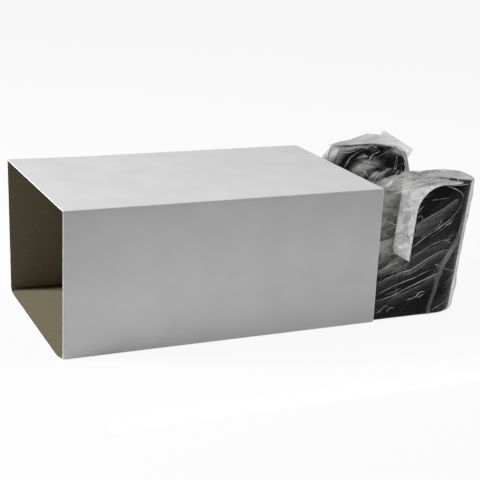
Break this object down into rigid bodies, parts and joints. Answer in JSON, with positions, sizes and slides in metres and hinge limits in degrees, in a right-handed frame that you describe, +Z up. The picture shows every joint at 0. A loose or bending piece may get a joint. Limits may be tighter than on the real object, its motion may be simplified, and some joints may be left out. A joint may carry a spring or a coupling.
{
  "type": "bar caddy in carton sleeve",
  "caption": "Black bar-top napkin and straw caddy in a clear polybag, sliding out of a plain white carton sleeve that is open at both ends.",
  "frame": {"origin": "middle of the sleeve's underside", "axes": "+X along the sleeve, the way the caddy comes out; +Z up; the front panel faces -Y"},
  "size_m": [0.3514, 0.1532, 0.1103],
  "materials": {
    "white_board": "white lined grey-back board, matt",
    "clear_film": "clear creased polyethylene film",
    "black_plastic": "moulded, satin gloss",
    "pad_rubber": "matt"
  },
  "bodies": {
    "sleeve": {"carton_sleeve": "white_board"},
    "caddy": {"caddy_body": "black_plastic", "front_left_foot": "pad_rubber", "front_right_foot": "pad_rubber", "rear_left_foot": "pad_rubber", "rear_right_foot": "pad_rubber"},
    "left_partition": {"left_divider": "black_plastic"},
    "right_partition": {"right_divider": "black_plastic"},
    "bag": {"poly_bag": "clear_film"}
  },
  "joints": [
    {"name": "caddy_slide", "type": "slide", "parent": "sleeve", "child": "caddy", "axis": [1, 0, 0], "range_m": [-0.098, 0.16]},
    {"name": "bag_pull", "type": "slide", "parent": "caddy", "child": "bag", "axis": [1, 0, 0], "range_m": [0, 0.255]},
    {"name": "left_divider_lift", "type": "slide", "parent": "caddy", "child": "left_partition", "axis": [0, 0, 1], "range_m": [0, 0.055]},
    {"name": "right_divider_lift", "type": "slide", "parent": "caddy", "child": "right_partition", "axis": [0, 0, 1], "range_m": [0, 0.055]}
  ]
}
